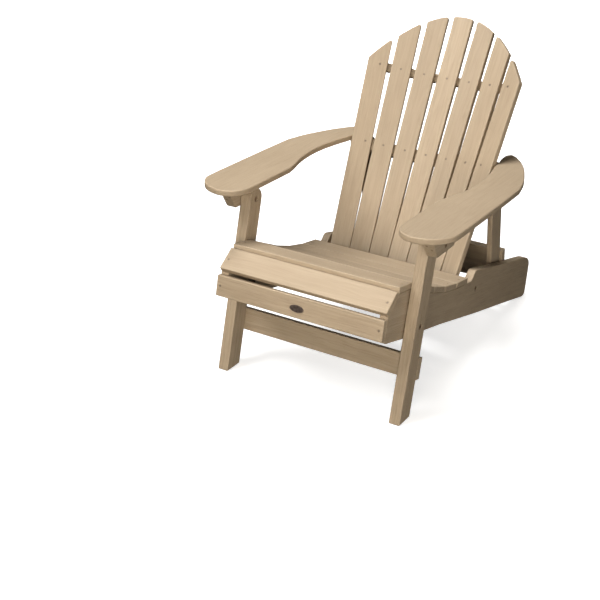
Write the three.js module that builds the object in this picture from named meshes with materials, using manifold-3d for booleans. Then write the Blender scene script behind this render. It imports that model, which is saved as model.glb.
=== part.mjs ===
// Folding, reclining adirondack chair in synthetic lumber. Millimetres, +Z up, the front faces -Y.
// "left" and "right" are the sitter's: left is +X. Y is measured from the front leg's foot, and the
// whole chair is shifted at the end so that the origin is under its middle, on the ground.
import * as THREE from "three";
import { mergeVertices } from "three/addons/utils/BufferGeometryUtils.js";
import Module from "manifold-3d";

const wasm = await Module();
wasm.setup();

// ---- driving dimensions -------------------------------------------------------------------------
const GAP = 0.3; // clearance between parts that are screwed together
const SEAT_HALF = 266.7; // half the seat's width: slat ends are flush with the side rails
const RAIL_T = 24.8; // side rail (stringer) thickness
const RAIL_IN = SEAT_HALF - RAIL_T;
const SLAT_T = 18; // seat, nose and apron board thickness

const LEG_LEAN = 0.2307; // legs lean back, horizontal run per unit of height
const LEG_ANGLE = Math.atan(LEG_LEAN);
const LEG_W = 63.3; // leg width across the lean
const LEG_T = 34; // leg thickness
const LEG_IN = SEAT_HALF + 2.8;
const LEG_OUT = LEG_IN + LEG_T;

// pivot axes in the side view, [y, z]
const PIVOT_BACK = [566.9, 194.5];
const PIVOT_LEG = [94.8, 270];
const PIVOT_ARM = [148.5, 503.4];
const PIVOT_TAIL = [746, 503];
const BOLT_R = 5;
const BORE_R = 5.4; // running clearance for a faceted bolt
const OPEN_BORE_R = 10; // the opened pivot: the bolt floats in this hole

// back: a fan of boards standing on a cylinder, hollow side forward
const BACK_FOOT = [713.9, 532.2]; // [y, z] of the front face at the lower screw row, centre line
const BACK_LEAN = 28.37 * (Math.PI / 180);
const BACK_RADIUS = 590;
const BACK_PITCH = 72; // board spacing round the curve at the lower screw row
const BACK_FAN = 0.0224; // extra spacing per unit of height
const BACK_T = 17.5;
const BACK_HALF = 32.4;
const BACK_TOP = 451; // crown above the lower screw row
const BACK_CROWN = 0.0026; // how fast the crown falls away sideways
const BACK_END = -392;
const BACK_CORNER = 5.5; // radius of the boards' top corners

const ARM_T = 18;
const ARM_ROUND = 4;
const ARM_TOP = 570.5; // height of the arm's top face at y = 0
const ARM_SLOPE = 0.0169;

const PROP_LEAN = 8.2 * (Math.PI / 180);
const PROP_W = 73;
const PROP_OFFSET = 8; // the pivot is this far forward of the upright's centre line
const PROP_IN = 216;
const PROP_OUT = 233.5;
const PROP_RAIL_T = 24.8;

// ---- materials ----------------------------------------------------------------------------------
const lumber = () => new THREE.MeshStandardMaterial({ color: 0xb9a384, roughness: 0.7 });
const steel = () => new THREE.MeshStandardMaterial({ color: 0x8f8b84, metalness: 0.9, roughness: 0.4 });
const bronze = () => new THREE.MeshStandardMaterial({ color: 0x5d4c44, roughness: 0.55 });

// ---- helpers ------------------------------------------------------------------------------------
const chair = new THREE.Group();
chair.name = "adirondack_chair";

function group(name) {
  const g = new THREE.Group();
  g.name = name;
  chair.add(g);
  return g;
}

function add(parent, name, geometry, material) {
  const mesh = new THREE.Mesh(geometry, material);
  mesh.name = name;
  parent.add(mesh);
  return mesh;
}

function shapeOf(points) {
  return new THREE.Shape(points.map(([x, y]) => new THREE.Vector2(x, y)));
}

// A smooth curve through the points, as a list of points.
function smooth(points, divisions) {
  const nodes = points.map(([x, y]) => new THREE.Vector3(x, y, 0));
  const curve = new THREE.CatmullRomCurve3(nodes, false, "centripetal");
  return curve.getPoints(divisions).map((p) => [p.x, p.y]);
}

// A corner between two straight edges, rounded to the radius.
function rounded(before, corner, after, radius, steps = 6) {
  const c = new THREE.Vector2(...corner);
  const a = new THREE.Vector2(...before).sub(c).normalize();
  const b = new THREE.Vector2(...after).sub(c).normalize();
  const half = Math.acos(a.dot(b)) / 2;
  const middle = a.clone().add(b).normalize();
  const centre = c.clone().addScaledVector(middle, radius / Math.sin(half));
  const start = c.clone().addScaledVector(a, radius / Math.tan(half));
  const turn = Math.sign(a.cross(b)) * (Math.PI - 2 * half);
  const out = [];
  for (let k = 0; k <= steps; k++) {
    const p = start.clone().rotateAround(centre, (-turn * k) / steps);
    out.push([p.x, p.y]);
  }
  return out;
}

// A board seen from the side: outline points are [y, z], and it fills x0 to x1.
function sideBoard(points, x0, x1) {
  const g = new THREE.ExtrudeGeometry(shapeOf(points), { depth: x1 - x0, bevelEnabled: false });
  g.translate(0, 0, x0);
  const turn = new THREE.Matrix4().makeBasis(
    new THREE.Vector3(0, 1, 0),
    new THREE.Vector3(0, 0, 1),
    new THREE.Vector3(1, 0, 0),
  );
  return g.applyMatrix4(turn);
}

// A straight board across the chair. Its top face runs from [y, z] at an angle for its width.
function crossBoard([y, z], angle, width, thickness, halfLength) {
  const along = [Math.cos(angle), Math.sin(angle)];
  const down = [along[1], -along[0]];
  const at = (a, d) => [y + a * along[0] + d * down[0], z + a * along[1] + d * down[1]];
  return sideBoard([at(0, 0), at(0, thickness), at(width, thickness), at(width, 0)], -halfLength, halfLength);
}

// A round bar along X.
function bar(x0, x1, [y, z], radius, segments = 32) {
  const g = new THREE.CylinderGeometry(radius, radius, Math.abs(x1 - x0), segments);
  g.rotateZ(Math.PI / 2);
  g.translate((x0 + x1) / 2, y, z);
  return g;
}

function solid(geometry) {
  const g = geometry.clone();
  g.deleteAttribute("normal");
  g.deleteAttribute("uv");
  const merged = mergeVertices(g, 1e-3);
  return new wasm.Manifold(
    new wasm.Mesh({
      numProp: 3,
      vertProperties: new Float32Array(merged.attributes.position.array),
      triVerts: new Uint32Array(merged.index.array),
    }),
  );
}

function geometryOf(manifold) {
  const m = manifold.getMesh();
  const g = new THREE.BufferGeometry();
  g.setAttribute("position", new THREE.BufferAttribute(new Float32Array(m.vertProperties), 3));
  g.setIndex(new THREE.BufferAttribute(new Uint32Array(m.triVerts), 1));
  const flat = g.toNonIndexed();
  flat.computeVertexNormals();
  return flat;
}

function cut(geometry, ...tools) {
  let s = solid(geometry);
  for (const t of tools) s = s.subtract(solid(t));
  return geometryOf(s);
}

function join(geometry, ...more) {
  let s = solid(geometry);
  for (const t of more) s = s.add(solid(t));
  return geometryOf(s);
}

// A bolt along X: shank, then a low head at the outer end.
function bolt(inner, outer, centre, headRadius = 8.5, headDepth = 4, radius = BOLT_R) {
  const side = Math.sign(outer - inner);
  const shank = bar(inner, outer, centre, radius);
  const head = bar(outer - side * headDepth, outer, centre, headRadius);
  return join(shank, head);
}

const mirror = (geometry) => {
  const g = geometry.clone();
  g.applyMatrix4(new THREE.Matrix4().makeScale(-1, 1, 1));
  const flat = g.index ? g.toNonIndexed() : g;
  const p = flat.attributes.position;
  for (let i = 0; i < p.count; i += 3) {
    const b = new THREE.Vector3().fromBufferAttribute(p, i + 1);
    const c = new THREE.Vector3().fromBufferAttribute(p, i + 2);
    p.setXYZ(i + 1, c.x, c.y, c.z);
    p.setXYZ(i + 2, b.x, b.y, b.z);
  }
  flat.deleteAttribute("uv");
  flat.computeVertexNormals();
  return flat;
};

// Adds the part on the sitter's left (+X), and its mirror image on the right.
function pair(parent, name, geometry, material) {
  add(parent, name + "_left", geometry, material());
  add(parent, name + "_right", mirror(geometry), material());
}

// ---- seat frame ---------------------------------------------------------------------------------
const seat = group("seat_frame");

// Each seat slat: the angle of its top face. They chain back from the front edge of the first.
const SEAT_START = [25.6, 406.6];
const SEAT_SLAT_W = 80;
const SEAT_SLAT_GAP = 3;
const SEAT_ANGLES = [-11, -25.5, -25, -20, -14.5, -9.5].map((d) => d * (Math.PI / 180));
const seatUnderside = [];
let at = SEAT_START;
SEAT_ANGLES.forEach((angle, i) => {
  const along = [Math.cos(angle), Math.sin(angle)];
  const deep = SLAT_T + GAP;
  const under = (a) => [at[0] + a * along[0] + deep * along[1], at[1] + a * along[1] - deep * along[0]];
  add(seat, "seat_slat_" + (i + 1), crossBoard(at, angle, SEAT_SLAT_W, SLAT_T, SEAT_HALF), lumber());
  seatUnderside.push(under(0), under(SEAT_SLAT_W));
  const next = SEAT_ANGLES[i + 1] ?? angle;
  const mid = (angle + next) / 2;
  // over the knee of the seat the boards' undersides lean together, so the gap grows
  const gap = SEAT_SLAT_GAP + Math.max(0, SLAT_T * Math.tan(angle - next) - 1.5);
  at = [
    at[0] + SEAT_SLAT_W * along[0] + gap * Math.cos(mid),
    at[1] + SEAT_SLAT_W * along[1] + gap * Math.sin(mid),
  ];
});

// The nose slat slopes down to the front, and the apron stands almost upright under it.
const NOSE_TOP = [13.3, 399.1];
const NOSE_LOW = [-46.1, 357.6];
const APRON_TOP = [-55.3, 339.6];
const APRON_LOW = [-67.1, 279];
function frontBoard(top, low) {
  const length = Math.hypot(top[0] - low[0], top[1] - low[1]);
  const angle = Math.atan2(top[1] - low[1], top[0] - low[0]);
  return crossBoard(low, angle, length, SLAT_T, SEAT_HALF);
}
function behind(top, low, point, depth) {
  const length = Math.hypot(top[0] - low[0], top[1] - low[1]);
  return [point[0] + (depth * (top[1] - low[1])) / length, point[1] - (depth * (top[0] - low[0])) / length];
}
add(seat, "nose_slat", frontBoard(NOSE_TOP, NOSE_LOW), lumber());
add(seat, "front_apron", frontBoard(APRON_TOP, APRON_LOW), lumber());

// A plain oval plaque on the apron, with nothing on it; height is its share of the way up.
const PLAQUE = { across: 22.5, up: 10.5, thick: 1.6, height: 0.45 };
{
  const oval = new THREE.Shape();
  oval.absellipse(0, 0, PLAQUE.across, PLAQUE.up, 0, Math.PI * 2, false, 0);
  const g = new THREE.ExtrudeGeometry(oval, {
    depth: PLAQUE.thick - 0.6,
    bevelEnabled: true,
    bevelSize: 0.6,
    bevelThickness: 0.6,
    bevelOffset: -0.6,
    bevelSegments: 1,
    curveSegments: 24,
  });
  const along = new THREE.Vector3(0, APRON_TOP[0] - APRON_LOW[0], APRON_TOP[1] - APRON_LOW[1]);
  const middle = APRON_LOW.map((low, i) => low + PLAQUE.height * (APRON_TOP[i] - low));
  const up = along.clone().normalize();
  const out = new THREE.Vector3(1, 0, 0).cross(up);
  const frame = new THREE.Matrix4().makeBasis(new THREE.Vector3(1, 0, 0), up, out);
  frame.setPosition(0, middle[0] + out.y * 0.9, middle[1] + out.z * 0.9);
  g.applyMatrix4(frame);
  add(seat, "apron_plaque", g, bronze());
}

// Side rails: the top edge carries the slats, steps up behind them, and falls to the rear foot.
const railOutline = [
  ...seatUnderside,
  [510, 237.5],
  ...smooth([[524, 235.6], [536, 241], [546, 251], [556, 257.4], [569, 256]], 10),
  ...smooth([[600, 248], [650, 234], [701, 219.8], [770, 201.6], [870, 177.2], [925, 163.4]], 16),
  ...smooth([[965, 153], [992, 144.6], [1012, 134], [1024.5, 121], [1028.5, 106]], 10),
  ...smooth([[1017.5, 20], [1014, 8], [1006, 1.4], [996, 0], [984, 2]], 8),
  [800.1, 49.6],
  [579.8, 104.8],
  [317.2, 175.5],
  [203.6, 203],
  [59.8, 236.4],
  ...smooth([[-22.7, 259.5], [-36, 263], [-44, 267], [-48, 273]], 6),
  behind(APRON_TOP, APRON_LOW, APRON_LOW, SLAT_T + GAP),
  behind(APRON_TOP, APRON_LOW, APRON_TOP, SLAT_T + GAP),
  behind(NOSE_TOP, NOSE_LOW, NOSE_LOW, SLAT_T + GAP),
  behind(NOSE_TOP, NOSE_LOW, NOSE_TOP, SLAT_T + GAP),
];
// Where two slats meet at an angle the rail's edge keeps the lower of the two lines.
function tidyTop(points) {
  const out = [];
  for (const p of points) {
    const last = out[out.length - 1];
    if (last && p[0] <= last[0] && p[0] > 60 && p[0] < 500 && p[1] > 220) {
      out[out.length - 1] = [(last[0] + p[0]) / 2, Math.min(last[1], p[1]) - 0.4];
    } else {
      out.push(p);
    }
  }
  return out;
}
const railBoard = cut(
  sideBoard(tidyTop(railOutline), RAIL_IN, SEAT_HALF),
  bar(RAIL_IN - 5, SEAT_HALF + 5, PIVOT_BACK, BORE_R),
  bar(SEAT_HALF - 6, SEAT_HALF + 5, PIVOT_BACK, 9),
  bar(RAIL_IN - 5, SEAT_HALF + 5, PIVOT_LEG, BORE_R),
);
pair(seat, "side_rail", railBoard, lumber);

// Racks on the inside of the rails: treads that hold the prop's rail in three positions.
const RACK_IN = PROP_OUT + 1.4;
const rackOutline = [
  [806, 158.6],
  [826, 154.6],
  [826, 142.2],
  [869, 142.2],
  [869, 132.2],
  [912, 132.2],
  [912, 122.2],
  [956, 122.2],
  [956, 90.6],
  [806, 90.6],
];
pair(seat, "prop_rack", sideBoard(rackOutline, RACK_IN, RAIL_IN - GAP), lumber);

// The cross rail that ties the racks, and so the side rails, together at the back.
const REAR_TIE = { y: 884, low: 84, high: 127, thick: 18, half: RACK_IN - GAP };
add(
  seat,
  "rear_tie",
  sideBoard(
    [
      [REAR_TIE.y, REAR_TIE.low],
      [REAR_TIE.y + REAR_TIE.thick, REAR_TIE.low],
      [REAR_TIE.y + REAR_TIE.thick, REAR_TIE.high],
      [REAR_TIE.y, REAR_TIE.high],
    ],
    -REAR_TIE.half,
    REAR_TIE.half,
  ),
  lumber(),
);

// ---- front legs ---------------------------------------------------------------------------------
const legs = group("legs");
const legRun = LEG_W / Math.cos(LEG_ANGLE);
const legFront = (z) => LEG_LEAN * z;
const legAcross = [Math.cos(LEG_ANGLE), -Math.sin(LEG_ANGLE)];
const legTop = [];
for (let i = 0; i <= 14; i++) {
  const a = -LEG_ANGLE + (Math.PI * i) / 14;
  legTop.push([PIVOT_ARM[0] + (LEG_W / 2) * Math.cos(a), PIVOT_ARM[1] + (LEG_W / 2) * Math.sin(a)]);
}
const legOutline = [[0, 0], [legRun, 0], ...legTop];
const legBoard = cut(
  sideBoard(legOutline, LEG_IN, LEG_OUT),
  bar(LEG_IN - 5, LEG_OUT + 5, PIVOT_ARM, BORE_R),
  bar(LEG_IN - 5, LEG_IN + 9, PIVOT_ARM, 9),
  bar(LEG_IN - 5, LEG_OUT + 5, PIVOT_LEG, BORE_R),
  bar(LEG_OUT - 6, LEG_OUT + 5, PIVOT_LEG, 9),
);
pair(legs, "front_leg", legBoard, lumber);

// The stretcher lies on the rear faces of the legs, out to their outer faces.
const STRETCHER = { low: 104, high: 168.5, thick: 22 };
{
  const rear = (z) => legFront(z) + legRun + GAP / Math.cos(LEG_ANGLE);
  const low = [rear(STRETCHER.low), STRETCHER.low];
  const high = [rear(STRETCHER.high), STRETCHER.high];
  const back = (p) => [p[0] + STRETCHER.thick * legAcross[0], p[1] + STRETCHER.thick * legAcross[1]];
  add(legs, "front_stretcher", sideBoard([low, back(low), back(high), high], -LEG_OUT, LEG_OUT), lumber());
}
pair(legs, "leg_pivot_bolt", bolt(RAIL_IN - 4, LEG_OUT - 0.5, PIVOT_LEG), steel);

// ---- arms ---------------------------------------------------------------------------------------
const arms = group("arms");
const armOutline = [
  ...smooth([[239.5, 286], [246.5, 322], [262, 382], [270, 432], [274, 485], [272.5, 545]], 16),
  ...smooth([[264, 606], [254, 655], [248.5, 690], [245.5, 716], [240, 742], [238, 790], [250, 809]], 16),
  ...smooth([[273, 794], [301, 759], [331, 708], [357, 647], [378, 588], [393, 520]], 16),
  ...smooth([[395.5, 410], [396, 288], [396.8, 190], [397, 112], [395, 76], [388, 57], [377, 40]], 16),
  ...smooth([[364, 25], [345, 12], [322, 4], [302, 1], [284, 5], [264, 16], [250, 34], [242, 58], [239.5, 88]], 20),
];
const armTopAt = (y) => ARM_TOP - ARM_SLOPE * y;
{
  const outline = shapeOf(armOutline);
  const g = new THREE.ExtrudeGeometry(outline, {
    depth: ARM_T - 2 * ARM_ROUND,
    bevelEnabled: true,
    bevelSize: ARM_ROUND,
    bevelThickness: ARM_ROUND,
    bevelOffset: -ARM_ROUND,
    bevelSegments: 3,
  });
  g.translate(0, 0, -(ARM_T - ARM_ROUND));
  g.rotateX(-Math.atan(ARM_SLOPE));
  g.translate(0, 0, ARM_TOP);
  pair(arms, "arm", g, lumber);
}

// Blocks under the arms, outside the legs: they carry the front pivot.
const underArm = (y) => armTopAt(y) - ARM_T - 0.4;
const BLOCK_LOW = 484;
const blockOutline = [
  [53, underArm(53)],
  [96, BLOCK_LOW],
  [201, BLOCK_LOW],
  [244, underArm(244)],
];
const BLOCK_IN = LEG_OUT + 1.2;
const BLOCK_OUT = BLOCK_IN + 33.4;
const armBlock = cut(
  sideBoard(blockOutline, BLOCK_IN, BLOCK_OUT),
  bar(BLOCK_IN - 5, BLOCK_OUT + 5, PIVOT_ARM, BORE_R),
  bar(BLOCK_OUT - 6, BLOCK_OUT + 5, PIVOT_ARM, 9),
);
pair(arms, "arm_block", armBlock, lumber);
pair(arms, "arm_pivot_bolt", bolt(LEG_IN + 2, BLOCK_OUT - 0.5, PIVOT_ARM), steel);

// Blocks under the arms' tails: they carry the pivot of the back and of the prop.
const TAIL_IN = 248;
const TAIL_OUT = 272.2;
const tailOutline = [
  [712, underArm(712)],
  [726, 480],
  [768, 480],
  [782, underArm(782)],
];
const tailBlock = cut(
  sideBoard(tailOutline, TAIL_IN, TAIL_OUT),
  bar(TAIL_IN - 5, TAIL_OUT + 5, PIVOT_TAIL, BORE_R),
  bar(TAIL_OUT - 6, TAIL_OUT + 5, PIVOT_TAIL, 9),
);
pair(arms, "tail_block", tailBlock, lumber);
// the bolt has a collar that keeps the prop's upright clear of the block
const tailBolt = join(
  bolt(188, TAIL_OUT - 0.5, PIVOT_TAIL),
  bar(PROP_OUT + 0.6, TAIL_IN - 0.6, PIVOT_TAIL, 8.5),
);
pair(arms, "tail_pivot_bolt", tailBolt, steel);

// ---- back ---------------------------------------------------------------------------------------
const back = group("back");
const backUp = new THREE.Vector3(0, Math.sin(BACK_LEAN), Math.cos(BACK_LEAN));
const backFront = new THREE.Vector3(0, -Math.cos(BACK_LEAN), Math.sin(BACK_LEAN));
const boardAngle = (i) => (i * BACK_PITCH) / BACK_RADIUS;
const pitchAt = (s) => BACK_PITCH + BACK_FAN * s;
const crown = (a) => BACK_TOP - BACK_CROWN * a * a;

function backBoard(i) {
  const footHalf = pitchAt(BACK_END) / 2 - 0.55;
  const steps = 6;
  const top = [];
  for (let k = 0; k <= steps; k++) {
    const u = BACK_HALF - (2 * BACK_HALF * k) / steps;
    let s = crown(i * BACK_PITCH + u);
    s = crown(i * pitchAt(s) + u);
    s = crown(i * pitchAt(s) + u);
    top.push([u, s]);
  }
  const points = [
    [-footHalf, BACK_END],
    [footHalf, BACK_END],
    [BACK_HALF, -285],
    ...rounded([BACK_HALF, -285], top[0], top[1], BACK_CORNER),
    ...top.slice(1, -1),
    ...rounded(top[steps - 1], top[steps], [-BACK_HALF, -285], BACK_CORNER),
    [-BACK_HALF, -285],
  ];
  const g = new THREE.ExtrudeGeometry(shapeOf(points), { depth: BACK_T, bevelEnabled: false });
  g.translate(0, 0, -BACK_T);
  g.rotateZ(-Math.atan(i * BACK_FAN));
  const a = boardAngle(i);
  const across = new THREE.Vector3(Math.cos(a), 0, 0).addScaledVector(backFront, Math.sin(a));
  const out = across.clone().cross(backUp);
  const frame = new THREE.Matrix4().makeBasis(across, backUp, out);
  const hollow = BACK_RADIUS * (1 - Math.cos(a));
  const origin = new THREE.Vector3(BACK_RADIUS * Math.sin(a), BACK_FOOT[0], BACK_FOOT[1]);
  frame.setPosition(origin.addScaledVector(backFront, hollow));
  return g.applyMatrix4(frame);
}
for (let i = -3; i <= 3; i++) add(back, "back_slat_" + (i + 4), backBoard(i), lumber());

// A cleat's front edge follows the boards' rear faces, as [x, depth behind the centre board's front].
function cleatFront(s, halfWidth, margin) {
  const points = [];
  const deep = BACK_T + GAP;
  for (let i = -3; i <= 3; i++) {
    const a = boardAngle(i);
    const shift = i * BACK_FAN * s;
    for (const u of [shift - BACK_HALF - margin, shift + BACK_HALF + margin]) {
      const x = BACK_RADIUS * Math.sin(a) + u * Math.cos(a) + deep * Math.sin(a);
      const d = -BACK_RADIUS * (1 - Math.cos(a)) - u * Math.sin(a) + deep * Math.cos(a);
      if (Math.abs(x) <= halfWidth) points.push([x, d]);
    }
  }
  const edge = (side) => {
    const a = boardAngle(3 * side);
    const x0 = BACK_RADIUS * Math.sin(a) + deep * Math.sin(a);
    const d0 = -BACK_RADIUS * (1 - Math.cos(a)) + deep * Math.cos(a);
    return [side * halfWidth, d0 - Math.tan(a) * (side * halfWidth - x0)];
  };
  return [edge(-1), ...points, edge(1)];
}

// A cleat: rear is a list of [x, depth] from +x to -x; it is height tall, centred on s.
function cleat(s, height, halfWidth, margin, rear) {
  const outline = [...cleatFront(s, halfWidth, margin), ...rear].map(([x, d]) => [x, -d]).reverse();
  const g = new THREE.ExtrudeGeometry(shapeOf(outline), { depth: height, bevelEnabled: false });
  // the outline lies across the back, y forward, and is extruded along the back
  const side = new THREE.Vector3(1, 0, 0);
  const along = side.clone().cross(backFront);
  const start = s - (Math.sign(along.dot(backUp)) * height) / 2;
  const frame = new THREE.Matrix4().makeBasis(side, backFront, along);
  frame.setPosition(new THREE.Vector3(0, ...BACK_FOOT).addScaledVector(backUp, start));
  return g.applyMatrix4(frame);
}
const arc = (radius, halfWidth, steps) => {
  const end = Math.asin(halfWidth / radius);
  const out = [];
  for (let k = 0; k <= steps; k++) {
    const a = end - (2 * end * k) / steps;
    out.push([radius * Math.sin(a), radius * Math.cos(a) - BACK_RADIUS]);
  }
  return out;
};
add(back, "back_cleat_upper", cleat(250, 26, 238, 2.2, arc(BACK_RADIUS + BACK_T + 32, 238, 16)), lumber());
add(
  back,
  "back_cleat_lower",
  cut(
    cleat(-5, 38, 209.5, 1.5, [[209.5, 62], [-209.5, 62]]),
    bar(176, 215, PIVOT_TAIL, OPEN_BORE_R),
    bar(-215, -176, PIVOT_TAIL, OPEN_BORE_R),
  ),
  lumber(),
);
add(
  back,
  "back_cleat_foot",
  cut(
    cleat(-367, 36, RAIL_IN - 1.2, 0.3, [[RAIL_IN - 1.2, 56], [-RAIL_IN + 1.2, 56]]),
    bar(205, 250, PIVOT_BACK, BOLT_R + GAP),
    bar(-250, -205, PIVOT_BACK, BOLT_R + GAP),
  ),
  lumber(),
);
pair(back, "back_pivot_bolt", bolt(207, SEAT_HALF - 0.5, PIVOT_BACK), steel);

// ---- prop ---------------------------------------------------------------------------------------
const prop = group("prop");
const propDown = [Math.sin(PROP_LEAN), -Math.cos(PROP_LEAN)];
const propAcross = [Math.cos(PROP_LEAN), Math.sin(PROP_LEAN)];
const propAt = (v, w) => [
  PIVOT_TAIL[0] + v * propDown[0] + w * propAcross[0],
  PIVOT_TAIL[1] + v * propDown[1] + w * propAcross[1],
];
const PROP_LENGTH = 368;
const propFront = PROP_OFFSET - PROP_W / 2;
const propRear = PROP_OFFSET + PROP_W / 2;
const propOutline = [propAt(PROP_LENGTH, propFront), propAt(PROP_LENGTH, propRear)];
for (let i = 0; i <= 14; i++) {
  const a = (Math.PI * i) / 14;
  propOutline.push(propAt((-PROP_W / 2) * Math.sin(a), PROP_OFFSET + (PROP_W / 2) * Math.cos(a)));
}
pair(
  prop,
  "prop_upright",
  cut(sideBoard(propOutline, PROP_IN, PROP_OUT), bar(PROP_IN - 5, PROP_OUT + 5, PIVOT_TAIL, BORE_R)),
  lumber,
);
const PROP_RAIL = { top: PROP_LENGTH - PROP_W, low: PROP_LENGTH, half: 240.9 };
{
  const w = propRear + GAP;
  const outline = [
    propAt(PROP_RAIL.low, w),
    propAt(PROP_RAIL.low, w + PROP_RAIL_T),
    propAt(PROP_RAIL.top, w + PROP_RAIL_T),
    propAt(PROP_RAIL.top, w),
  ];
  add(prop, "prop_rail", sideBoard(outline, -PROP_RAIL.half, PROP_RAIL.half), lumber());
}

// The origin is under the middle of the chair.
const MIDDLE_Y = 480.7;
chair.position.y = -MIDDLE_Y;

export default chair;
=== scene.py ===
"""Looks for a folding, reclining adirondack chair in embossed synthetic lumber. Metres, row frame."""

import math
import random

import bmesh
import bpy
from mathutils import Matrix, Vector


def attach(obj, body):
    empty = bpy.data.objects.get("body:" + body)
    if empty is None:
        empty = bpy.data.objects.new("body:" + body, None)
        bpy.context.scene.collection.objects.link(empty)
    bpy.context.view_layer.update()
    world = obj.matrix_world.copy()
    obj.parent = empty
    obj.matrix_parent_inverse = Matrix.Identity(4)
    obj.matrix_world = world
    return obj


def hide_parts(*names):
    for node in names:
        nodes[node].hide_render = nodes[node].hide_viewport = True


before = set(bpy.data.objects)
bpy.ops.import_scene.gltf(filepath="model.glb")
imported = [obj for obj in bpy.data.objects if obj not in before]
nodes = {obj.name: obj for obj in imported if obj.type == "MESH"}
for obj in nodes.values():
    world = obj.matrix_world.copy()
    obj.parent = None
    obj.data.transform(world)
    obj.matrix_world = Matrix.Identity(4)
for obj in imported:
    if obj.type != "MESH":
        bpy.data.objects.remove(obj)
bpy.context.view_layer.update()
scene = bpy.context.scene
MM = 0.001

# ---- camera --------------------------------------------------------------------------------------
CAMERA_PLACE = (1.59426, -3.25633, 1.83635)
AZIMUTH, ELEVATION, ROLL = (math.radians(d) for d in (30.25, 24.50, 1.652))
ahead = Vector((-math.sin(AZIMUTH), math.cos(AZIMUTH), 0))
forward = ahead * math.cos(ELEVATION) - Vector((0, 0, math.sin(ELEVATION)))
level = Vector((math.cos(AZIMUTH), math.sin(AZIMUTH), 0))
upright = level.cross(forward)
right = level * math.cos(ROLL) + upright * math.sin(ROLL)
up = upright * math.cos(ROLL) - level * math.sin(ROLL)
lens = bpy.data.cameras.new("camera")
lens.sensor_width = 36
lens.lens = 76.457
lens.shift_x, lens.shift_y = -0.00205, -0.0380
camera = bpy.data.objects.new("camera", lens)
scene.collection.objects.link(camera)
turn = Matrix((right, up, -forward)).transposed().to_4x4()
camera.matrix_world = Matrix.Translation(CAMERA_PLACE) @ turn
scene.camera = camera
scene.view_settings.view_transform = "Standard"

# ---- the chair's geometry, as the CAD has it (millimetres, y from the front leg's foot) ------------
MIDDLE_Y = 480.7
SEAT_HALF, RAIL_T, SLAT_T = 266.7, 24.8, 18.0
RAIL_IN = SEAT_HALF - RAIL_T
LEG_LEAN, LEG_W, LEG_T = 0.2307, 63.3, 34.0
LEG_IN = SEAT_HALF + 2.8
LEG_OUT = LEG_IN + LEG_T
BLOCK_GAP, BLOCK_T = 1.2, 33.4
BLOCK_OUT = LEG_OUT + BLOCK_GAP + BLOCK_T
SLAT_W, SLAT_GAP = 80.0, 3.0
BEND_SLACK = 1.5  # of the wedge between two seat boards' lower edges, the part that SLAT_GAP takes
GAP = 0.3
STRETCHER_T = 22.0
TAIL_IN, TAIL_OUT = 248.0, 272.2
PIVOT_BACK, PIVOT_LEG = (566.9, 194.5), (94.8, 270)
PIVOT_ARM, PIVOT_TAIL = (148.5, 503.4), (746, 503)
BACK_FOOT, BACK_LEAN, BACK_RADIUS = (713.9, 532.2), math.radians(28.37), 590.0
BACK_PITCH, BACK_FAN = 72.0, 0.0224
SEAT_ANGLES = [math.radians(d) for d in (-11, -25.5, -25, -20, -14.5, -9.5)]
PROP_LEAN, PROP_W, PROP_T, PROP_RAIL_T = math.radians(8.2), 73.0, 17.5, 24.8
PROP_OUT, PROP_OFFSET = 233.5, 8.0
LEG_ANGLE = math.atan(LEG_LEAN)
LEG_UP = Vector((0, math.sin(LEG_ANGLE), math.cos(LEG_ANGLE)))
BACK_UP = Vector((0, math.sin(BACK_LEAN), math.cos(BACK_LEAN)))
BACK_FRONT = Vector((0, -math.cos(BACK_LEAN), math.sin(BACK_LEAN)))
PROP_DOWN = Vector((0, math.sin(PROP_LEAN), -math.cos(PROP_LEAN)))
X = Vector((1, 0, 0))
Y = Vector((0, 1, 0))
Z = Vector((0, 0, 1))


def row(x, y, z):
    """A point given in the CAD's millimetres, in the row frame."""
    return Vector((x, y - MIDDLE_Y, z)) * MM


# ---- materials -----------------------------------------------------------------------------------
class Nodes:
    """A short way to write a node tree."""

    def __init__(self, tree):
        self.tree = tree

    def add(self, kind, _inputs=None, **settings):
        node = self.tree.nodes.new(kind)
        for name, value in settings.items():
            setattr(node, name, value)
        for name, value in (_inputs or {}).items():
            self.put(node.inputs[name], value)
        return node

    def put(self, socket, value):
        if isinstance(value, bpy.types.NodeSocket):
            self.tree.links.new(value, socket)
        else:
            socket.default_value = value

    def math(self, operation, a, b=0.0, clamp=False):
        node = self.add("ShaderNodeMath", {0: a, 1: b}, operation=operation, use_clamp=clamp)
        return node.outputs[0]

    def times(self, vector, factors):
        return self.add("ShaderNodeVectorMath", {0: vector, 1: factors}, operation="MULTIPLY").outputs[0]

    def noise(self, vector, detail=2.0, roughness=0.5, distortion=0.0):
        put = {"Vector": vector, "Scale": 1.0, "Detail": detail}
        put |= {"Roughness": roughness, "Distortion": distortion}
        return self.add("ShaderNodeTexNoise", put).outputs[0]

    def span(self, value, low, high, to_low=0.0, to_high=1.0):
        put = {"Value": value, "From Min": low, "From Max": high, "To Min": to_low, "To Max": to_high}
        return self.add("ShaderNodeMapRange", put, interpolation_type="SMOOTHSTEP").outputs[0]

    def mix(self, factor, a, b, blend="MIX"):
        node = self.add("ShaderNodeMix", data_type="RGBA", blend_type=blend)
        self.put(node.inputs["Factor"], factor)
        self.put(node.inputs["A"], a)
        self.put(node.inputs["B"], b)
        return node.outputs["Result"]


# the lumber's colours: paler ridges, deeper ground, a painted highlight on the edges and painted shade in
# the furrows between the ridges
LIGHT_TAN = (0.440, 0.341, 0.232, 1)
DEEP_TAN = (0.325, 0.245, 0.160, 1)
EDGE_HIGHLIGHT_TAN = (0.520, 0.420, 0.300, 1)
FURROW_SHADE = (0.160, 0.113, 0.070, 1)


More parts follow.
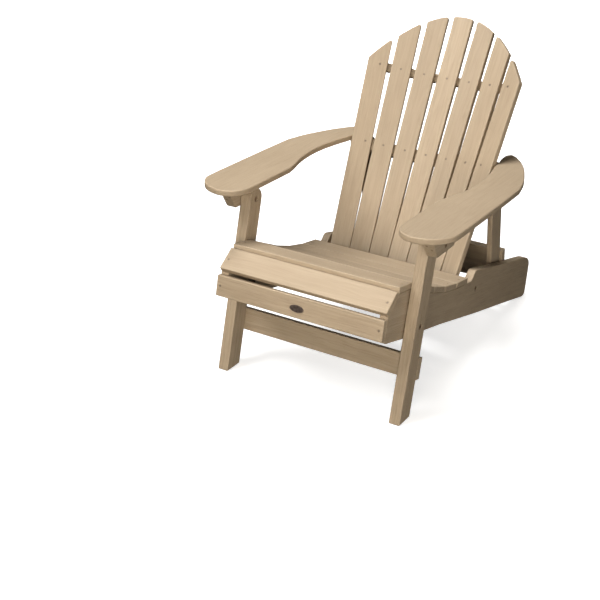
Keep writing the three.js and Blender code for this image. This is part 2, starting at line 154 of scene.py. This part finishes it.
def lumber_group():
    """Embossed synthetic lumber in a board's own coordinates: x along the grain, y and z across it."""
    tree = bpy.data.node_groups.new("embossed_lumber", "ShaderNodeTree")
    face = tree.interface
    face.new_socket("Vector", in_out="INPUT", socket_type="NodeSocketVector")
    face.new_socket("Tone", in_out="INPUT", socket_type="NodeSocketFloat")
    face.new_socket("Emboss", in_out="INPUT", socket_type="NodeSocketFloat")
    for name, kind in (("Color", "Color"), ("Roughness", "Float"), ("Height", "Float")):
        face.new_socket(name, in_out="OUTPUT", socket_type="NodeSocket" + kind)
    n = Nodes(tree)
    inside = n.add("NodeGroupInput")
    vector, tone, emboss = inside.outputs[0], inside.outputs[1], inside.outputs[2]
    wander = n.noise(n.times(vector, (3.1, 14, 14)), 2)
    sway = n.math("MULTIPLY", n.math("SUBTRACT", wander, 0.5), 0.022)
    shift = n.add("ShaderNodeCombineXYZ", {"Y": sway, "Z": sway}).outputs[0]
    bent = n.add("ShaderNodeVectorMath", {0: vector, 1: shift}, operation="ADD").outputs[0]
    fibre = n.noise(n.times(bent, (11, 620, 620)), 3, 0.62)
    streak = n.noise(n.times(bent, (4.2, 150, 150)), 3, 0.55)
    field = n.noise(n.times(bent, (1.3, 17, 17)), 1)
    rings = n.math("SINE", n.math("MULTIPLY", field, 96.0))
    ring = n.span(rings, -0.9, 0.9)
    pore = n.span(fibre, 0.36, 0.50)
    cloud = n.noise(n.times(vector, (4.5, 7, 7)), 3)
    # height of the embossing
    low = n.math("MULTIPLY", pore, 0.42)
    mid = n.math("MULTIPLY", streak, 0.55)
    high = n.math("MULTIPLY", ring, 0.16)
    height = n.math("ADD", n.math("ADD", low, mid), high)
    # colour: paler ridges, painted shade in the furrows, slow drifts along the board
    strength = n.math("ADD", n.math("MULTIPLY", emboss, 0.9), 0.4)
    swing = n.math("ADD", n.math("MULTIPLY", n.math("SUBTRACT", streak, 0.5), strength), 0.5)
    ridge = n.math("ADD", n.math("MULTIPLY", swing, 1.05), n.math("MULTIPLY", ring, 0.10))
    drift = n.math("MULTIPLY", cloud, 0.5)
    amount = n.math("ADD", n.math("SUBTRACT", ridge, 0.36), drift, clamp=True)
    colour = n.mix(amount, DEEP_TAN, LIGHT_TAN)
    # painted shade: the low furrows of the embossing are darkened, more where the embossing is deeper
    painted_furrow_shade = n.math("MULTIPLY", n.math("SUBTRACT", 1.0, pore), n.math("MULTIPLY", emboss, 0.34))
    colour = n.mix(painted_furrow_shade, colour, FURROW_SHADE)
    # painted highlight: the eased edges are lightened, patchy along the streaks
    edge = n.add("ShaderNodeNewGeometry").outputs["Pointiness"]
    painted_edge_highlight = n.math("MULTIPLY", n.span(edge, 0.515, 0.60), n.span(streak, 0.35, 0.7, 0.10, 0.5))
    colour = n.mix(painted_edge_highlight, colour, EDGE_HIGHLIGHT_TAN)
    shade = n.add("ShaderNodeCombineColor", {0: tone, 1: tone, 2: tone}).outputs[0]
    colour = n.mix(1.0, colour, shade, "MULTIPLY")
    rough = n.math("ADD", n.math("MULTIPLY", streak, 0.16), n.math("MULTIPLY", pore, -0.08))
    outside = n.add("NodeGroupOutput")
    n.put(outside.inputs[0], colour)
    n.put(outside.inputs[1], n.math("ADD", rough, 0.52))
    n.put(outside.inputs[2], height)
    return tree


LUMBER = lumber_group()
dice = random.Random(11)


def lumber(name, along, emboss):
    """A board's own lumber, its grain running along the given direction."""
    material = bpy.data.materials.new("lumber_" + name)
    material.use_nodes = True
    n = Nodes(material.node_tree)
    shader = material.node_tree.nodes["Principled BSDF"]
    along = along.normalized()
    across = along.cross(X if abs(along.x) < 0.7 else Z).normalized()
    through = along.cross(across)
    place = n.add("ShaderNodeTexCoord").outputs["Object"]
    parts = []
    for axis in (along, across, through):
        dot = n.add("ShaderNodeVectorMath", {0: place, 1: tuple(axis)}, operation="DOT_PRODUCT")
        parts.append(dot.outputs["Value"])
    own = n.add("ShaderNodeCombineXYZ", {0: parts[0], 1: parts[1], 2: parts[2]}).outputs[0]
    start = tuple(dice.uniform(1, 9) for _ in range(3))
    moved = n.add("ShaderNodeVectorMath", {0: own, 1: start}, operation="ADD").outputs[0]
    grain = n.add("ShaderNodeGroup", node_tree=LUMBER)
    n.put(grain.inputs["Vector"], moved)
    n.put(grain.inputs["Tone"], dice.uniform(0.955, 1.045))
    n.put(grain.inputs["Emboss"], emboss)
    bump = n.add("ShaderNodeBump", {"Height": grain.outputs["Height"]})
    bump.inputs["Strength"].default_value = 0.30 + 0.35 * emboss
    bump.inputs["Distance"].default_value = 0.0011
    n.put(shader.inputs["Base Color"], grain.outputs["Color"])
    n.put(shader.inputs["Roughness"], grain.outputs["Roughness"])
    n.put(shader.inputs["Normal"], bump.outputs[0])
    shader.inputs["Specular IOR Level"].default_value = 0.36
    return material


def metal(name, light, dark, metallic, rough_low, rough_high, scale):
    """Coated or bare metal with tarnish, fine scratches and paler edges."""
    material = bpy.data.materials.new(name)
    material.use_nodes = True
    n = Nodes(material.node_tree)
    shader = material.node_tree.nodes["Principled BSDF"]
    place = n.add("ShaderNodeTexCoord").outputs["Object"]
    patches = n.noise(n.times(place, (scale, scale, scale)), 4, 0.6)
    scratches = n.noise(n.times(place, (scale * 3, scale * 40, scale * 9)), 2)
    colour = n.mix(n.span(patches, 0.32, 0.68), dark, light)
    edge = n.add("ShaderNodeNewGeometry").outputs["Pointiness"]
    pale = tuple(min(1, c * 1.7) for c in light[:3]) + (1,)
    colour = n.mix(n.math("MULTIPLY", n.span(edge, 0.52, 0.62), 0.6), colour, pale)
    n.put(shader.inputs["Base Color"], colour)
    wear = n.math("ADD", patches, scratches)
    n.put(shader.inputs["Roughness"], n.span(wear, 0.7, 1.3, rough_low, rough_high))
    shader.inputs["Metallic"].default_value = metallic
    bump = n.add("ShaderNodeBump", {"Height": scratches})
    bump.inputs["Strength"].default_value = 0.25
    bump.inputs["Distance"].default_value = 0.0002
    n.put(shader.inputs["Normal"], bump.outputs[0])
    return material


SCREW_METAL = metal(
    "screw_metal", (0.27, 0.21, 0.15, 1), (0.17, 0.13, 0.09, 1), 0.45, 0.38, 0.62, 900
)
BOLT_METAL = metal(
    "bolt_metal", (0.30, 0.215, 0.14, 1), (0.15, 0.10, 0.065, 1), 0.75, 0.34, 0.58, 260
)
PLAQUE_METAL = metal(
    "plaque_metal", (0.145, 0.110, 0.090, 1), (0.080, 0.058, 0.050, 1), 0.55, 0.30, 0.52, 160
)


# ---- pieces --------------------------------------------------------------------------------------
def piece(name, bm, body, material, sharp=32):
    """A finished piece from a bmesh: smooth where it curves, flat where it is flat."""
    mesh = bpy.data.meshes.new(name)
    bmesh.ops.recalc_face_normals(bm, faces=bm.faces)
    bm.to_mesh(mesh)
    bm.free()
    mesh.shade_smooth()
    mesh.set_sharp_from_angle(angle=math.radians(sharp))
    mesh.materials.append(material)
    obj = bpy.data.objects.new(name, mesh)
    scene.collection.objects.link(obj)
    even = obj.modifiers.new("even", "WEIGHTED_NORMAL")
    even.keep_sharp = True
    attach(obj, body)
    return obj


def skin(bm, rings):
    """Joins a run of equal rings with quads and caps both ends."""
    count = len(rings[0])
    for low, high in zip(rings, rings[1:]):
        for i in range(count):
            bm.faces.new((low[i], low[(i + 1) % count], high[(i + 1) % count], high[i]))
    bm.faces.new(rings[0][::-1])
    bm.faces.new(rings[-1])


def near_axis(vert, axis, reach):
    """True if the vertex is within reach (mm) of an axis along X through a CAD [y, z]."""
    p = row(0, axis[0], axis[1])
    return math.hypot(vert.co.y - p.y, vert.co.z - p.z) < reach * MM


SINK_LOW, SINK_HIGH, SINK_DEEP = 3.5, 4.3, 3.2  # countersink radii and the cutter's height
SINK_SET = 0.4  # how far the cutter's middle lies under the face


def carve(bm, sinks):
    """Cuts a small tapered countersink at each (point, outward normal)."""
    mesh = bpy.data.meshes.new("carved")
    bm.to_mesh(mesh)
    cutter = bmesh.new()
    for point, normal in sinks:
        turn = normal.to_track_quat("Z", "Y").to_matrix().to_4x4()
        place = Matrix.Translation(point - normal * SINK_SET * MM) @ turn
        bmesh.ops.create_cone(
            cutter,
            cap_ends=True,
            segments=20,
            radius1=SINK_LOW * MM,
            radius2=SINK_HIGH * MM,
            depth=SINK_DEEP * MM,
            matrix=place,
        )
    tool = bpy.data.meshes.new("cutter")
    cutter.to_mesh(tool)
    cutter.free()
    board = bpy.data.objects.new("carved", mesh)
    knife = bpy.data.objects.new("knife", tool)
    for o in (board, knife):
        scene.collection.objects.link(o)
    cut = board.modifiers.new("cut", "BOOLEAN")
    cut.operation, cut.solver, cut.object = "DIFFERENCE", "EXACT", knife
    done = board.evaluated_get(bpy.context.evaluated_depsgraph_get()).to_mesh()
    out = bmesh.new()
    out.from_mesh(done)
    bm.free()
    for o, m in ((board, mesh), (knife, tool)):
        bpy.data.objects.remove(o)
        bpy.data.meshes.remove(m)
    return out


SHARP_FROM = math.radians(28)  # edges that turn more than this are eased
EASE_STEPS = 3
BORE_REACH = 12  # edges this near a pivot belong to its bore and stay sharp


def board(node, body, along, ease=3.0, emboss=0.6, bores=(), sinks=(), sharp=32):
    """The visible board for a CAD board: eased edges, sharp bores, countersinks, and its own lumber."""
    bm = bmesh.new()
    bm.from_mesh(nodes[node].data)
    bmesh.ops.remove_doubles(bm, verts=bm.verts, dist=0.00002)
    bmesh.ops.dissolve_limit(bm, angle_limit=math.radians(0.4), verts=bm.verts, edges=bm.edges)
    if ease:
        edges = []
        for e in bm.edges:
            if len(e.link_faces) != 2 or e.calc_face_angle(0) < SHARP_FROM:
                continue
            if any(all(near_axis(v, axis, BORE_REACH) for v in e.verts) for axis in bores):
                continue
            edges.append(e)
        bmesh.ops.bevel(
            bm,
            geom=edges,
            offset=ease * MM,
            offset_type="OFFSET",
            segments=EASE_STEPS,
            profile=0.5,
            affect="EDGES",
            clamp_overlap=True,
        )
    if sinks:
        bm = carve(bm, sinks)
    obj = piece("board_" + node, bm, body, lumber(node, along, emboss), sharp)
    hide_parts(node)
    return obj


# radius, height and how far the ring is drawn in to a six-pointed star, in mm
SCREW_PROFILE = (
    (2.6, -1.9, 0),
    (3.5, -1.6, 0),
    (3.6, -1.0, 0),
    (3.35, -0.75, 0),
    (1.8, -0.7, 0),
    (1.7, -0.72, 0.30),
    (1.6, -1.5, 0.30),
)
SCREW_SIDES = 24
SCREW_TURN = 0.7  # each screw is turned this much further than the last


def screws(name, body, places):
    """Countersunk screws, one for each (point, outward normal), just under the surface."""
    bm = bmesh.new()
    for k, (point, normal) in enumerate(places):
        turn = Matrix.Rotation(SCREW_TURN * k, 4, "Z")
        place = Matrix.Translation(point) @ normal.to_track_quat("Z", "Y").to_matrix().to_4x4() @ turn
        rings = []
        for radius, height, star in SCREW_PROFILE:
            ring = []
            for i in range(SCREW_SIDES):
                a = math.tau * i / SCREW_SIDES
                r = radius * (1 - star * (0.5 + 0.5 * math.cos(6 * a)))
                spot = Vector((r * math.cos(a) * MM, r * math.sin(a) * MM, height * MM))
                ring.append(bm.verts.new(place @ spot))
            rings.append(ring)
        skin(bm, rings)
    return piece(name, bm, body, SCREW_METAL, 40)


def lathe(bm, profile, centre, side, segments=40):
    """Rings round an axis along X: (distance along X, radius, sides), sides 0 for round, 6 for hex."""
    rings = []
    for x, radius, sides in profile:
        ring = []
        for i in range(segments):
            a = math.tau * (i + 0.5) / segments
            r = radius
            if sides:
                half = math.pi / sides
                r = radius * math.cos(half) / math.cos((a + half) % (2 * half) - half)
            y, z = centre[0] + r * math.cos(a), centre[1] + r * math.sin(a)
            ring.append(bm.verts.new(row(side * x, y, z)))
        rings.append(ring)
    skin(bm, rings)


def pivot_bolt(node, body, side, centre, inner, outer, nut=None, collar=None):
    """A barrel bolt: shank, low head with a hex socket, washer, and a nut or collar where one shows."""
    bm = bmesh.new()
    profile = [(inner, 4.2, 0), (inner + 0.8, 5, 0)]
    if collar:
        a, b = collar
        profile += [(a, 5, 0), (a, 7.9, 0), (a + 0.6, 8.5, 0), (b - 0.6, 8.5, 0), (b, 7.9, 0), (b, 5, 0)]
    if nut:
        a, b = nut
        profile += [(a, 5, 0), (a, 6.6, 0), (a + 0.8, 7.6, 0), (b, 7.6, 0), (b, 5, 0)]
    profile += [(outer - 4.8, 5, 0), (outer - 4.8, 8.7, 0), (outer - 3.9, 8.7, 0), (outer - 3.9, 8.0, 0)]
    profile += [(outer - 1.2, 8.0, 0), (outer - 0.5, 7.5, 0), (outer - 0.3, 6.8, 0), (outer - 0.3, 3.4, 6)]
    profile += [(outer - 3.2, 3.2, 6)]
    lathe(bm, profile, centre, side)
    obj = piece(node + "_hardware", bm, body, BOLT_METAL, 30)
    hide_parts(node)


# ---- where the screws go -------------------------------------------------------------------------
SIDES = ((1, "left"), (-1, "right"))
SEAT_SCREW_X = SEAT_HALF - 12.5
SEAT_START = (25.6, 406.6)  # front top edge of the first seat board


def board_frame(start, angle):
    """The top face of a cross board: its corner, its direction of width and its outward normal."""
    width = Vector((0, math.cos(angle), math.sin(angle)))
    normal = Vector((0, -math.sin(angle), math.cos(angle)))
    return Vector((0, *start)), width, normal


def cross_screws(start, angle, distances, x):
    """Screws through a cross board near both ends, at distances along its width."""
    corner, width, normal = board_frame(start, angle)
    out = []
    for side in (1, -1):
        for d in distances:
            p = corner + width * d
            out.append((row(side * x, p.y, p.z), normal.copy()))
    return out


seat_starts = []
at = Vector(SEAT_START)
for i, angle in enumerate(SEAT_ANGLES):
    seat_starts.append(tuple(at))
    after = SEAT_ANGLES[i + 1] if i + 1 < len(SEAT_ANGLES) else angle
    mid = (angle + after) / 2
    gap = SLAT_GAP + max(0, SLAT_T * math.tan(angle - after) - BEND_SLACK)
    at += Vector((math.cos(angle), math.sin(angle))) * SLAT_W
    at += Vector((math.cos(mid), math.sin(mid))) * gap

sinks = {}
for i, angle in enumerate(SEAT_ANGLES):
    sinks[f"seat_slat_{i + 1}"] = cross_screws(seat_starts[i], angle, (40,), SEAT_SCREW_X)
NOSE_TOP, NOSE_LOW = (13.3, 399.1), (-46.1, 357.6)
APRON_TOP, APRON_LOW = (-55.3, 339.6), (-67.1, 279)
nose_angle = math.atan2(NOSE_TOP[1] - NOSE_LOW[1], NOSE_TOP[0] - NOSE_LOW[0])
apron_angle = math.atan2(APRON_TOP[1] - APRON_LOW[1], APRON_TOP[0] - APRON_LOW[0])
sinks["nose_slat"] = cross_screws(NOSE_LOW, nose_angle, (33,), SEAT_SCREW_X)
sinks["front_apron"] = cross_screws(APRON_LOW, apron_angle, (31,), SEAT_SCREW_X)

# the stretcher and the prop's rail are screwed on from behind
leg_run = LEG_W / math.cos(LEG_ANGLE)
rearward = Vector((0, math.cos(LEG_ANGLE), -math.sin(LEG_ANGLE)))
stretcher = []
for side in (1, -1):
    for z in (119, 155):
        y = LEG_LEAN * z + leg_run + GAP / math.cos(LEG_ANGLE)
        p = Vector((side * (LEG_IN + LEG_T / 2), y, z)) + rearward * STRETCHER_T
        stretcher.append((row(*p), rearward.copy()))
sinks["front_stretcher"] = stretcher
PROP_REAR = Vector((0, math.cos(PROP_LEAN), math.sin(PROP_LEAN)))
prop_rail_back = PROP_OFFSET + PROP_W / 2 + GAP + PROP_RAIL_T
prop_rail = []
for side in (1, -1):
    for v in (313, 350):
        p = Vector((side * (PROP_OUT - PROP_T / 2), *PIVOT_TAIL))
        p += PROP_DOWN * v + PROP_REAR * prop_rail_back
        prop_rail.append((row(*p), PROP_REAR.copy()))
sinks["prop_rail"] = prop_rail


def back_point(i, s, offset=0.0):
    """A point on the front face of back board i, at height s up the back, and the face's normal."""
    a = i * BACK_PITCH / BACK_RADIUS
    across = X * math.cos(a) + BACK_FRONT * math.sin(a)
    out = across.cross(BACK_UP)
    hollow = BACK_RADIUS * (1 - math.cos(a))
    origin = Vector((BACK_RADIUS * math.sin(a), *BACK_FOOT)) + BACK_FRONT * hollow
    p = origin + BACK_UP * s + across * (i * BACK_FAN * s + offset)
    return row(*p), out


# height up the back of each row of screws, and how far inboard the row's two end screws are set
SCREW_ROWS = ((250, 8), (0, 12), (-367, 0))
for i in range(-3, 4):
    inboard = {-3: 1, 3: -1}.get(i, 0)
    sinks[f"back_slat_{i + 4}"] = [back_point(i, s, inboard * shift) for s, shift in SCREW_ROWS]

BLOCK_TOP, BLOCK_LOW = (53, 551.2), (96, 484.0)
BLOCK_FACE = math.atan2(BLOCK_LOW[0] - BLOCK_TOP[0], BLOCK_TOP[1] - BLOCK_LOW[1])
for side, word in SIDES:
    face = Vector((0, -math.cos(BLOCK_FACE), -math.sin(BLOCK_FACE)))
    sinks["arm_block_" + word] = []
    for dx, t in ((-7, 0.45), (6, 0.62)):
        y = BLOCK_TOP[0] + t * (BLOCK_LOW[0] - BLOCK_TOP[0])
        z = BLOCK_TOP[1] + t * (BLOCK_LOW[1] - BLOCK_TOP[1])
        x = side * (BLOCK_OUT - BLOCK_T / 2 + dx)
        sinks["arm_block_" + word].append((row(x, y, z), face.copy()))

# ---- the boards ----------------------------------------------------------------------------------
RAIL_RUN = Vector((0, 1000, -215))
for i in range(1, 7):
    board(f"seat_slat_{i}", "seat_frame", X, 2.6, 0.35, sinks=sinks[f"seat_slat_{i}"])
board("nose_slat", "seat_frame", X, 2.6, 0.35, sinks=sinks["nose_slat"])
board("front_apron", "seat_frame", X, 2.6, 0.8, sinks=sinks["front_apron"])
board("rear_tie", "seat_frame", X, 2.2, 0.6)
board("front_stretcher", "legs", X, 2.6, 0.7, sinks=sinks["front_stretcher"])
board("prop_rail", "prop", X, 2.6, 0.7, sinks=sinks["prop_rail"])
for side, word in SIDES:
    board("side_rail_" + word, "seat_frame", RAIL_RUN, 2.6, 0.7, (PIVOT_BACK, PIVOT_LEG))
    board("prop_rack_" + word, "seat_frame", Y, 1.2, 0.6)
    board("front_leg_" + word, "legs", LEG_UP, 3.2, 1.0, (PIVOT_ARM, PIVOT_LEG))
    board("arm_" + word, "arms", Y, 0, 0.2, sharp=50)
    board("arm_block_" + word, "arms", Y, 2.4, 0.8, (PIVOT_ARM,), sinks["arm_block_" + word])
    board("tail_block_" + word, "arms", Y, 2.4, 0.7, (PIVOT_TAIL,))
    board("prop_upright_" + word, "prop", PROP_DOWN, 2.6, 0.7, (PIVOT_TAIL,))
for i in range(-3, 4):
    a = i * BACK_PITCH / BACK_RADIUS
    grain = BACK_UP + (X * math.cos(a) + BACK_FRONT * math.sin(a)) * (i * BACK_FAN)
    name = f"back_slat_{i + 4}"
    board(name, "back", grain, 2.8, 0.35, sinks=sinks[name])
board("back_cleat_upper", "back", X, 2.0, 0.7)
board("back_cleat_lower", "back", X, 2.0, 0.7, (PIVOT_TAIL,))
board("back_cleat_foot", "back", X, 2.0, 0.7, (PIVOT_BACK,))

# ---- the hardware --------------------------------------------------------------------------------
groups = {
    "seat_frame": [f"seat_slat_{i}" for i in range(1, 7)] + ["nose_slat", "front_apron"],
    "legs": ["front_stretcher"],
    "prop": ["prop_rail"],
    "back": [f"back_slat_{i}" for i in range(1, 8)],
    "arms": ["arm_block_left", "arm_block_right"],
}
SUNK = 0.5  # the bolts' heads lie this far inside the outer faces
for body, names in groups.items():
    screws("screws_" + body, body, [place for name in names for place in sinks[name]])
for side, word in SIDES:
    leg_nut = (RAIL_IN - 3.4, RAIL_IN - 0.4)
    arm_nut = (LEG_IN + 3.5, LEG_IN + 8.6)
    tail_collar = (PROP_OUT + 0.6, TAIL_IN - 0.6)
    leg_ends = (RAIL_IN - 4, LEG_OUT - SUNK)
    arm_ends = (LEG_IN + 2, BLOCK_OUT - SUNK)
    pivot_bolt("leg_pivot_bolt_" + word, "legs", side, PIVOT_LEG, *leg_ends, nut=leg_nut)
    pivot_bolt("arm_pivot_bolt_" + word, "arms", side, PIVOT_ARM, *arm_ends, nut=arm_nut)
    tail_ends = (188, TAIL_OUT - SUNK)
    pivot_bolt("tail_pivot_bolt_" + word, "arms", side, PIVOT_TAIL, *tail_ends, collar=tail_collar)
    pivot_bolt("back_pivot_bolt_" + word, "back", side, PIVOT_BACK, 207, SEAT_HALF - SUNK)

# the plain oval plaque: a raised rim round a slightly crowned field
PLAQUE_ACROSS, PLAQUE_UP = 22.5, 10.5
PLAQUE_HEIGHT = 0.45  # share of the way up the apron
PLAQUE_SIDES = 64
# share of the full size, and height above the apron in mm, from the rim's foot to the middle
PLAQUE_PROFILE = (
    (1.0, 0.1),
    (1.0, 0.9),
    (0.975, 1.5),
    (0.93, 1.7),
    (0.885, 1.5),
    (0.865, 1.05),
    (0.60, 1.2),
    (0.25, 1.3),
)
bm = bmesh.new()
_, plaque_up, plaque_out = board_frame(APRON_LOW, apron_angle)
middle = Vector((0, *APRON_LOW)).lerp(Vector((0, *APRON_TOP)), PLAQUE_HEIGHT) + plaque_out * GAP
rings = []
for share, height in PLAQUE_PROFILE:
    ring = []
    inset = (1 - share) * PLAQUE_UP
    for i in range(PLAQUE_SIDES):
        a = math.tau * i / PLAQUE_SIDES
        spot = X * (PLAQUE_ACROSS - inset) * math.cos(a)
        spot += plaque_up * (PLAQUE_UP - inset) * math.sin(a)
        ring.append(bm.verts.new(row(*(middle + spot + plaque_out * height))))
    rings.append(ring)
skin(bm, rings)
plaque = piece("plain_oval_plaque", bm, "seat_frame", PLAQUE_METAL, 35)
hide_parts("apron_plaque")

# ---- floor and light -----------------------------------------------------------------------------
FLOOR_HALF = 30
corners = [(x * FLOOR_HALF, y * FLOOR_HALF, 0) for x, y in ((-1, -1), (1, -1), (1, 1), (-1, 1))]
mesh = bpy.data.meshes.new("floor")
mesh.from_pydata(corners, [], [(0, 1, 2, 3)])
floor = bpy.data.objects.new("floor", mesh)
scene.collection.objects.link(floor)
pale = bpy.data.materials.new("pale_floor")
pale.use_nodes = True
sockets = pale.node_tree.nodes["Principled BSDF"].inputs
sockets["Base Color"].default_value = (0.80, 0.80, 0.80, 1)
sockets["Roughness"].default_value = 0.9
sockets["Specular IOR Level"].default_value = 0.1
sockets["Emission Color"].default_value = (1, 1, 1, 1)
sockets["Emission Strength"].default_value = 0.62
mesh.materials.append(pale)
floor.visible_diffuse = False
floor.visible_glossy = False

world = bpy.data.worlds.new("studio")
scene.world = world
world.use_nodes = True
background = world.node_tree.nodes["Background"].inputs
background["Color"].default_value = (1, 0.99, 0.975, 1)
background["Strength"].default_value = 0.02


def softbox(name, place, target, size, watts, colour=(1, 1, 1)):
    """A round area light at a place, turned to face a target."""
    light = bpy.data.lights.new(name, "AREA")
    light.shape, light.size, light.energy, light.color = "DISK", size, watts, colour
    obj = bpy.data.objects.new(name, light)
    scene.collection.objects.link(obj)
    obj.location = place
    obj.rotation_euler = (Vector(target) - Vector(place)).to_track_quat("-Z", "Y").to_euler()
    return obj


CHAIR = (0, 0, 0.4)
WARM = (1, 0.93, 0.82)
softbox("key", (-2.4, -2.9, 4.3), CHAIR, 2.6, 205)
softbox("top", (-0.6, 0.3, 4.8), CHAIR, 2.0, 172)
softbox("fill", (1.3, -3.5, 1.2), CHAIR, 1.6, 86, WARM)
softbox("side", (2.6, -1.0, 0.6), (0.2, 0, 0.3), 1.0, 18)
softbox("front", (0.6, -4.8, 1.8), CHAIR, 2.6, 22)
# lights the chair's rear faces without a sheen on its tops
rear = softbox("rear", (-1.8, 3.8, 0.7), CHAIR, 1.8, 50)
rear.visible_glossy = False
# lights the far floor only
softbox("behind", (-1.5, 3.4, 3.6), (-3.2, 6.4, 0), 3.0, 260)
